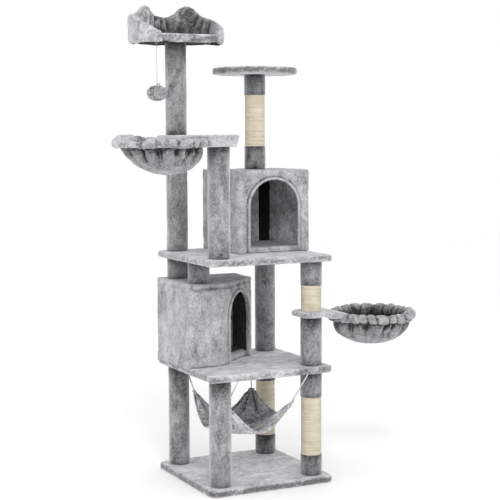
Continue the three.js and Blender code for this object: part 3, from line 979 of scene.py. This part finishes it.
def shade_basket(piece, look):
    """Paints shade on a basket under its rim, inside its bowl, behind its hem and at its laps."""
    rim_low, rim_high = [z * MM for z in look["rim"]]
    points = read_points(piece)
    x, y, z = points.T
    reach = np.hypot(x, y)
    outward = points[:, :2] / np.maximum(reach, 1e-6)[:, None]
    inside = share_of(-2 * np.sum(outward * read_normals(piece)[:, :2], axis=1))
    below = rim_low - z
    hem_shadow = 0.04 + 0.34 * hump(below / (0.35 * look["depth"] * MM))
    tucked = ramp(below, 12 * MM, 2 * MM) * (below > -6 * MM) * (reach < RING_R)
    down = np.maximum(rim_high - z, 0)
    bowl_shade = inside * ramp(down, 0, 16 * MM) * (0.2 + 0.5 * hump(down / 0.04))
    # Painted shade under and behind the hem, inside the bowl and at the edges of the laps.
    shade = (1 - inside) * (ramp(below, 0, 10 * MM) * hem_shadow + 0.7 * tucked)
    _, lap_edges = rim_shares(points, look)
    add_shade(piece, shade + look["lining"] * bowl_shade + 0.7 * lap_edges)


def add_basket(name, body, material, painted_light_material, look):
    """A gathered plush bowl hooked over its ring, its rim and folds as look says."""
    low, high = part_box(f"{name}_ring")
    ring_x = low.x + RING_R + 5 * MM if look["side"] > 0 else high.x - RING_R - 5 * MM
    centre = (ring_x, (low.y + high.y) / 2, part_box(f"{name}_bowl")[0].z + look["depth"] * MM)
    section = smooth_profile(basket_profile(look["depth"], *look["rim"], look["bowl"]), 4)
    profile = [(r * MM, z * MM) for r, z in section]
    materials = [material, painted_light_material]
    piece = revolve(f"{name}_fabric", profile, 380, materials, False, basket_shape(look))
    ruffle(piece, 1.8 * MM, 0.03, look["seed"])
    ruffle(piece, 0.9 * MM, 0.01, look["seed"] + 2)
    mark_creases(piece, 2.1 * MM, 22)
    shade_basket(piece, look)
    # Painted light: faces on the rim's stretch get the lighter copy of the plush.
    light, _ = rim_shares(face_centres(piece), look)
    choose_materials(piece, light)
    move_piece(piece, *centre)
    finish_piece(piece, body, [f"{name}_bowl"])


# How each basket is made, in millimetres and degrees. side: the side of its ring that has the
# tabs, -1 left and 1 right. bowl: (radius, share of depth) up its outside. rim: from and to.
# laps: (at, height, length). pleats: (at, lean, share of depth, height). lifts: (at, height,
# width). light: middle and half width of the rim's painted-light stretch. Next: painted shade inside.
RIGHT_BASKET = {
    "side": -1,
    "depth": 112,
    "bowl": [(0, 1), (60, 0.94), (96, 0.82), (122, 0.69), (138, 0.53), (147, 0.33)],
    "skew": -6,
    "rim": (-18, 13),
    "puffs": 24,
    "plump": 9,
    "folds": 15,
    "drape": 36,
    "laps": [(-70, 5, 14), (20, 6, 16), (150, 5, 20)],
    "pleats": [(-95, 16, 0.9, 9), (-60, -14, 0.7, 8), (-140, 6, 0.8, 8)],
    "lifts": [(60, 8, 80)],
    "light": (0, 0),
    "lining": 1.0,
    "seed": 3,
}
LEFT_BASKET = {
    "side": 1,
    "depth": 101,
    "bowl": [(0, 1), (54, 0.92), (86, 0.79), (115, 0.59), (136, 0.36), (143, 0.2)],
    "skew": 26,
    "rim": (-4, 24),
    "puffs": 20,
    "plump": 5,
    "folds": 16,
    "drape": 34,
    "laps": [(-134, 9, 18), (-88, 4, 12), (10, 6, 14), (100, 5, 20)],
    "pleats": [(-48, -50, 0.85, 9), (-60, -46, 0.7, 8), (-100, -30, 0.9, 5), (-146, 8, 0.7, 5)],
    "lifts": [(118, 15, 52), (212, -11, 30)],
    "light": (165, 60),
    "lining": 0.3,
    "seed": 8,
}


def add_baskets(material, painted_light_material):
    add_basket("right_basket", "right_basket", material, painted_light_material, RIGHT_BASKET)
    add_basket("left_basket", "root", material, painted_light_material, LEFT_BASKET)


# ---------------------------------------------------------------- perch
PERCH_SWEEP = (-50, 230)  # where the back starts and ends, in degrees round the perch
# Where along that sweep the back stands how many millimetres over the board.
BACK_HEIGHTS = [
    (-50, 5), (-28, 26), (8, 66), (30, 84), (46, 121), (54, 127), (61, 121), (70, 98),
    (82, 84), (96, 94), (106, 121), (112, 127), (119, 119), (132, 92), (150, 84),
    (170, 78), (190, 61), (210, 34), (230, 4),
]
BACK_THICK = 28 * MM
PERCH_HANG = 9 * MM  # how far the perch's plush hangs below its board


def back_height(degrees):
    """Height of the perch's back over its board: a curve through BACK_HEIGHTS that never
    overshoots them."""
    at, heights = np.array(BACK_HEIGHTS, float).T
    width = np.diff(at)
    rate = np.diff(heights) / width
    product = rate[:-1] * rate[1:]
    inner = np.where(product > 0, 2 * product / (rate[:-1] + rate[1:] + 1e-9), 0)
    slopes = np.concatenate([rate[:1], inner, rate[-1:]])
    i = int(np.clip(np.searchsorted(at, degrees, "right") - 1, 0, len(width) - 1))
    t = (degrees - at[i]) / width[i]
    start = (1 + 2 * t) * (1 - t) ** 2 * heights[i] + t * (1 - t) ** 2 * width[i] * slopes[i]
    end = t * t * (3 - 2 * t) * heights[i + 1] + t * t * (t - 1) * width[i] * slopes[i + 1]
    return (start + end) * MM


def perch_hang(degrees):
    """How far the plush hangs below the board's edge: in front it does, behind it's drawn up."""
    behind = ramp(degrees, 0, 30) * ramp(degrees, 165, 135)
    return PERCH_HANG * (1 - 1.5 * behind)


def back_section(radius, foot, seat_z, height):
    """The back's closed section: outer skin up from its foot, crest and inner face."""
    thick = BACK_THICK * min(1, 0.45 + height / 0.06)
    crest = 0.36 * thick
    crest_r, crest_z = radius + 3.5 * MM - crest, seat_z + height - crest
    section = [(radius - 6 * MM, foot + 1 * MM)]
    for z in np.linspace(foot + 4 * MM, crest_z, 14):
        drawn_under = 9 * MM * max(0, 1 - (z - foot) / (24 * MM)) ** 2
        section.append((radius + 4 * MM - drawn_under, z))
    for t in math.pi * np.linspace(0.15, 0.95, 7):
        section.append((crest_r + crest * math.cos(t), crest_z + crest * math.sin(t)))
    for t in np.linspace(0, 1, 8):
        r = crest_r - crest + (radius - thick - crest_r + crest) * t
        bulge = math.sin(math.pi * t) * 4 * MM
        section.append((r - bulge, crest_z + (seat_z + 0.5 * MM - crest_z) * t))
    section += [(r, seat_z + 0.4 * MM) for r in (radius - 0.5 * thick, radius + 0.6 * MM)]
    return section + [(radius - 9 * MM, foot + 2 * MM)]


# Gathers in the back's inner face: angle at the seat, width, depth in mm, and lean.
BACK_FOLDS = [
    (140, 6, 5, -40), (112, 5, 11, -90), (103, 5, 11, -80), (90, 4, 6, -30), (78, 5, 10, 20),
    (62, 5, 4, -20), (48, 6, 11, -160), (30, 5, 5, -60), (12, 6, 6, 30), (165, 6, 4, 20),
]


def back_creases(degrees, lift):
    """How far the back's inner face is drawn in at its gathers, and puffed out beside them."""
    total = np.zeros_like(lift)
    for at, width, depth, lean in BACK_FOLDS:
        away = degrees - at - lean * lift
        total += 1.4 * depth * MM * hump(away / (0.55 * width))
        total -= 0.6 * depth * MM * hump((away - 1.1 * width) / (0.6 * width))
    return total


def shade_inside(piece, centre, seat_z):
    """Paints shade inside the back, most of all low down by the seat and on the side that faces
    the front. The left ear's inside stays light."""
    points = read_points(piece)
    outward = points[:, :2] - np.array(centre)
    outward /= np.linalg.norm(outward, axis=1, keepdims=True)
    inside = share_of(np.sum(outward * read_normals(piece)[:, :2], axis=1) * -2.2 - 0.2)
    angle = np.degrees(np.arctan2(outward[:, 1], outward[:, 0]))
    facing = ramp(angle, -30, 10) * ramp(angle, 106, 94)
    low = ramp(points[:, 2], seat_z + 70 * MM, seat_z)
    add_shade(piece, inside * (0.44 * facing + 0.55 * low * (0.1 + 0.9 * facing)))


def hang_edge(piece, centre, radius, low):
    """The board's plush is turned in under its edge, and hangs as perch_hang says there."""
    points = read_points(piece)
    x, y, z = points.T
    reach = np.hypot(x - centre[0], y - centre[1])
    degrees = np.mod(np.degrees(np.arctan2(y - centre[1], x - centre[0])) + 90, 360) - 90
    from_edge = np.minimum(radius - reach, y - low.y)
    under = ramp(z, low.z + 12 * MM, low.z)
    z -= under * perch_hang(degrees) * share_of(1.6 - from_edge / (9 * MM))
    turned_in = 0.05 * under * (reach > radius - 20 * MM)
    x -= (x - centre[0]) * turned_in
    y -= (y - centre[1]) * turned_in
    write_points(piece, points)


def add_perch_board(material, underside_shade_material, centre, radius):
    low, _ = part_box("perch_board")
    start = math.asin((low.y - centre[1]) / radius)
    outline = disc_outline(centre, radius, start, math.pi - start)
    board = add_board("perch_board", material, outline, seed=9)
    hang_edge(board, centre, radius, low)
    # Painted shade: faces turned down get the near-black plush.
    board.data.materials.append(underside_shade_material)
    choose_materials(board, read_vectors(board.data.polygons, "normal")[:, 2] < -0.7)


def add_perch_back(material, centre, radius):
    low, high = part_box("perch_board")
    sections = []
    for degrees in np.linspace(*PERCH_SWEEP, 151):
        angle = math.radians(degrees)
        foot = low.z - perch_hang(degrees)
        r, z = np.array(back_section(radius, foot, high.z, back_height(degrees))).T
        inner = ramp(r, radius - 2 * MM, radius - 22 * MM)
        r = r + inner * back_creases(degrees, z - high.z)
        ring = [centre[0] + r * math.cos(angle), centre[1] + r * math.sin(angle), z]
        sections.append(np.stack(ring, axis=-1))
    faces = flipped(capped_grid(len(sections), len(sections[0])))
    piece = new_piece("perch_back_pad", np.concatenate(sections), faces, [material])
    soften(piece, PERCH_VOXEL, 3)
    ruffle(piece, 2.0 * MM, 0.045, 31)
    ruffle(piece, 0.8 * MM, 0.014, 32)
    mark_creases(piece, 3 * MM, 12)
    shade_inside(piece, centre, high.z)
    finish_piece(piece, "root", ["perch_back"])


def add_perch(material, underside_shade_material, back_material):
    low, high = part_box("perch_board")
    radius = (high.x - low.x) / 2
    centre = ((low.x + high.x) / 2, high.y - radius)
    add_perch_board(material, underside_shade_material, centre, radius)
    add_perch_back(back_material, centre, radius)


# ---------------------------------------------------------------- hammock
CORNERS = {
    "front_left": (-0.137, -0.137, 0.305),
    "front_right": (0.137, -0.137, 0.300),
    "rear_right": (0.115, 0.165, 0.297),
    "rear_left": (-0.143, 0.143, 0.315),
}
ANCHOR_X = 0.142
ANCHOR_Y = 0.240
ANCHOR_Z = 0.4102
HAMMOCK_CUT = {"front": 0.372, "right": 0.362, "rear": 0.342, "left": 0.376}
HAMMOCK_HOLLOW = {"front": 0.12, "right": 0.06, "rear": 0.08, "left": 0.1}  # of half the side
HAMMOCK_TIP = 12 * MM  # half the width of the blunt corners
HAMMOCK_THICK = 5 * MM
HAMMOCK_GRID = 46
HAMMOCK_FRAMES = 60
HUNG_FRAME = 24  # when the corners have reached their places
FOLDS_RUN_TO = (0, 0, 0.17)


CLOTH_SETTINGS = {
    "vertex_group_mass": "pins",
    "quality": 8,
    "mass": 0.3,
    "tension_stiffness": 15,
    "compression_stiffness": 15,
    "shear_stiffness": 10,
    "bending_stiffness": 3,
    "tension_damping": 10,
    "compression_damping": 10,
    "shear_damping": 10,
    "bending_damping": 1,
    "air_damping": 3,
}


def settle_hammock(piece):
    """Lets the cut square hang: its pinned corners are drawn in from flat to their places."""
    piece.shape_key_add(name="cut")
    hung = piece.shape_key_add(name="hung")
    count, last = HAMMOCK_GRID + 1, HAMMOCK_GRID
    pins = piece.vertex_groups.new(name="pins")
    for name, corner in CORNERS.items():
        i = 0 if name.endswith("left") else last
        j = 0 if name.startswith("front") else last
        step_i, step_j = (1 if i == 0 else -1), (1 if j == 0 else -1)
        tip = Vector(corner)
        aside = Vector((step_i * HAMMOCK_TIP, -step_j * HAMMOCK_TIP, 0))
        drop = Vector((0, 0, -4 * MM))
        held = [(i, j, tip), (i + step_i, j, tip + aside + drop), (i, j + step_j, tip - aside + drop)]
        for at_i, at_j, place in held:
            pins.add([at_i * count + at_j], 1.0, "REPLACE")
            hung.data[at_i * count + at_j].co = place
    cloth = add_modifier(piece, "CLOTH")
    for key, value in CLOTH_SETTINGS.items():
        setattr(cloth.settings, key, value)
    cloth.collision_settings.use_collision = False
    cloth.point_cache.frame_end = HAMMOCK_FRAMES
    for number, share in ((1, 0.0), (HUNG_FRAME, 1.0)):
        hung.value = share
        hung.keyframe_insert("value", frame=number)
    for number in range(1, HAMMOCK_FRAMES + 1):
        bpy.context.scene.frame_set(number)
    bake_modifiers(piece)
    bpy.context.scene.frame_set(1)


def gather_corners(piece):
    """Lengthwise folds that fan out from each corner, where the cloth is drawn together."""
    points = read_points(piece)
    lift = np.zeros(len(points))
    for number, corner in enumerate(CORNERS.values()):
        away = points - np.array(corner)
        reach = np.linalg.norm(away, axis=1)
        run = np.array(FOLDS_RUN_TO) - np.array(corner)
        run /= np.linalg.norm(run)
        angle = np.arctan2(away @ np.cross(run, (0, 0, 1)), away @ run)
        folds = np.sin(angle * 15 + number) * (0.7 + 0.3 * np.sin(angle * 5 + 2 * number))
        lift += 8 * MM * ramp(reach, 0, 0.03) * hump(reach / 0.13) * folds
    push_out(piece, lift)


def cut_point(u, v):
    """A point of the flat cut cloth, u of the way across it and v of the way back. It sags a
    little, so that it knows which way to fall."""
    across, along = 4 * u * (1 - u), 4 * v * (1 - v)
    width = HAMMOCK_CUT["front"] + (HAMMOCK_CUT["rear"] - HAMMOCK_CUT["front"]) * v
    length = HAMMOCK_CUT["left"] + (HAMMOCK_CUT["right"] - HAMMOCK_CUT["left"]) * u
    x = (u - 0.5) * width * (1 - along * HAMMOCK_HOLLOW["right" if u > 0.5 else "left"])
    y = (v - 0.5) * length * (1 - across * HAMMOCK_HOLLOW["rear" if v > 0.5 else "front"])
    return x, y, 0.31 - 0.02 * across * along


def shade_hammock(piece):
    """The upper side is darker, most of all away from its three open corners."""
    inside = share_of(read_normals(piece)[:, 2] * 3)
    points = read_points(piece)
    arms = [CORNERS[name] for name in ("front_right", "front_left", "rear_left")]
    to_arm = np.min([np.linalg.norm(points - np.array(corner), axis=1) for corner in arms], axis=0)
    add_shade(piece, inside * (0.06 + 0.3 * ramp(to_arm, 0.09, 0.18)))


def add_hammock(material):
    count = HAMMOCK_GRID + 1
    shares = [k / HAMMOCK_GRID for k in range(count)]
    points = [cut_point(u, v) for u in shares for v in shares]
    faces = flipped(grid_faces(count, count, ring=False))
    piece = new_piece("hammock_plush", points, faces, [material])
    settle_hammock(piece)
    add_modifier(piece, "SUBSURF", levels=1, render_levels=1)
    bake_modifiers(piece)
    gather_corners(piece)
    add_modifier(piece, "SOLIDIFY", thickness=HAMMOCK_THICK, offset=0)
    add_modifier(piece, "SUBSURF", levels=1, render_levels=1)
    bake_modifiers(piece)
    ruffle(piece, 0.8 * MM, 0.016, 41)
    mark_creases(piece, 2 * MM, 20)
    shade_hammock(piece)
    finish_piece(piece, "hammock", ["hammock_cloth"])


# ---------------------------------------------------------------- cords and toy
def tube_along(name, path, radius, material, sides=10):
    """A round tube along a path of points, its ends closed."""
    vertices = []
    for i, point in enumerate(path):
        direction = (path[min(i + 1, len(path) - 1)] - path[max(i - 1, 0)]).normalized()
        side = direction.orthogonal().normalized()
        if i and side.dot(last_side) < 0.99:
            side = (last_side - direction * last_side.dot(direction)).normalized()
        last_side = side
        other = direction.cross(side)
        for k in range(sides):
            a = TAU * k / sides
            vertices.append(point + (side * math.cos(a) + other * math.sin(a)) * radius)
    return new_piece(name, vertices, capped_grid(len(path), sides), [material])


def add_hammock_cords(material):
    for name, corner in CORNERS.items():
        end = Vector(corner)
        anchor = Vector((math.copysign(ANCHOR_X, end.x), math.copysign(ANCHOR_Y, end.y), ANCHOR_Z))
        path = [anchor.lerp(end, t / 16) for t in range(17)]
        piece = tube_along(f"hammock_cord_{name}_line", path, CORD_D / 2, material)
        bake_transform(piece)
        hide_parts(f"hammock_cord_{name}")


def add_pompom(material, tag_material):
    low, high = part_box("toy_pompom")
    centre = (low + high) / 2
    half = (high - low) / 2
    pleat = gathers(26, 0.3, 5)
    profile = [(half.x * math.sin(a), -half.z * math.cos(a)) for a in np.linspace(0, math.pi, 41)]

    def shape(points, angle, along):
        top = ramp(along, 0.35, 0.85)
        swell = 1 + top * (pleat(angle + 0.1 * np.sin(2 * angle), 0.05) - 0.7) * 0.2
        dimple = 1 - 0.12 * ramp(along, 0.85, 1)
        return points * np.stack([swell, swell, dimple], axis=-1)

    ball = revolve("pompom", profile, 120, [material], False, shape)
    ruffle(ball, 1.6 * MM, 0.01, 51)
    ruffle(ball, 1.0 * MM, 0.004, 52)
    mark_creases(ball, 1.2 * MM, 6)
    move_piece(ball, *centre)
    finish_piece(ball, "toy", ["toy_pompom"])

    tag_at = Vector((centre.x + 6 * MM, centre.y - 2 * MM, high.z - 3 * MM))
    tag_path = []
    for a in np.linspace(0, math.pi, 13):
        tag_path.append(tag_at + Vector((4.5 * MM * math.cos(a), 0, 9 * MM * math.sin(a))))
    tag = tube_along("pompom_tag", tag_path, 1.3 * MM, tag_material)
    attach(tag, "toy")
    return ball, tag


def add_toy(string_material, plush, tag_material):
    ball, tag = add_pompom(plush, tag_material)
    low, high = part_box("toy_string")
    x, y = (low.x + high.x) / 2, (low.y + high.y) / 2
    path = [Vector((x, y, z)) for z in np.linspace(high.z, low.z, 24)]
    string = tube_along("toy_string_line", path, STRING_D / 2, string_material)
    finish_piece(string, "toy", ["toy_string"])
    low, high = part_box("toy_loop")
    centre = (low + high) / 2
    path = []
    for a in np.linspace(0, TAU, 25):
        turned = Vector((4 * math.cos(a), 0.5 * math.sin(2 * a), 4 * math.sin(a)))
        path.append(centre + turned * MM)
    loop = tube_along("toy_loop_cord", path, 1.4 * MM, string_material)
    finish_piece(loop, "toy_loop", ["toy_loop"])


# ---------------------------------------------------------------- build
def paint_node(node, material):
    """Gives a CAD node that stays visible its procedural material."""
    mesh = frame["nodes"][node].data
    mesh.materials.clear()
    mesh.materials.append(material)


def nodes_in_slot(slot):
    return [part["node"] for part in frame["record"]["subparts"] if part["material_slot"] == slot]


def build():
    add_camera()
    add_studio()
    white = cord_material("white_braid", (0.55, 0.55, 0.56), (0.88, 0.88, 0.89))
    string = cord_material("string_braid", (0.42, 0.42, 0.43), (0.72, 0.72, 0.73))
    tag = cord_material("brown_tag", (0.12, 0.07, 0.04), (0.3, 0.2, 0.12))
    # These board plushes differ in how much shade is painted on their upright faces.
    board = plush_material("plush_board", 0.50, 1.5, (1.6, 1.0, 1.0), upright_shade=0.07)
    side_shaded = plush_material("plush_board_side_shade", 0.50, 1.42, (1.6, 1.0, 1.0), upright_shade=0.14)
    ledge = plush_material("plush_ledge", 0.50, 1.2, (1.6, 1.0, 1.0), upright_shade=0.03)
    # Near-black plush: painted shade on the perch board's underside.
    under = plush_material("plush_underside_painted_shade", 0.03, 1.0, sheen=0.0)
    post = plush_material("plush_post", 0.25, 1.75, (1, 1, 1.8), sheen=1.0)
    house = plush_material("plush_house", 0.385, 1.3, (1, 1, 1.5), sheen=0.3)
    # inner is a lighter copy of the house plush: painted light inside the houses. dark and floor are
    # near-black: painted shade on the house floors and the lower house's right wall inside.
    inner = plush_material("plush_inner_painted_light", 0.56, 1.5, sheen=0.2)
    dark = plush_material("plush_dark_lining", 0.06, 1.2, sheen=0.1)
    floor = plush_material("plush_floor_painted_shade", 0.05, 1.0)
    trim = plush_material("plush_trim", 0.43, 1.0)
    basket = plush_material("plush_basket", 0.31, 1.6, patch=0.025)
    # A lighter copy of the basket plush: painted light on one stretch of the left basket's rim.
    basket_painted_light = plush_material("plush_basket_painted_light", 0.45, 1.6, patch=0.025)
    perch = plush_material("plush_perch", 0.42, 1.6, patch=0.025)
    sling = plush_material("plush_hammock", 0.6, 1.8, patch=0.035)
    pompom = plush_material("plush_pompom", 0.36, 1.8, patch=0.012)
    sisal = sisal_material("sisal_cord")
    cardboard = cardboard_material("tube_cardboard")
    steel = steel_material("ring_wire")
    black = plush_material("black_lining", 0.015, 0.8, sheen=0.05)

    add_hammock_cords(white)
    add_toy(string, pompom, tag)
    add_boards(board, side_shaded, ledge)
    for node in nodes_in_slot("post_plush"):
        add_plush_sleeve(node, post, BAND_BORE if node.endswith("_band") else POST_BORE)
    for node in nodes_in_slot("sisal"):
        add_sisal_wrap(node, sisal)
    add_houses(house, inner, dark, floor, trim)
    add_baskets(basket, basket_painted_light)
    add_perch(board, under, perch)
    add_hammock(sling)
    for node in nodes_in_slot("cardboard_tube"):
        paint_node(node, cardboard)
    for node in nodes_in_slot("ring_steel"):
        paint_node(node, steel)
    # Near-black plush on the strip in the upper house's back corner.
    paint_node("upper_house_corner_strip", black)


build()
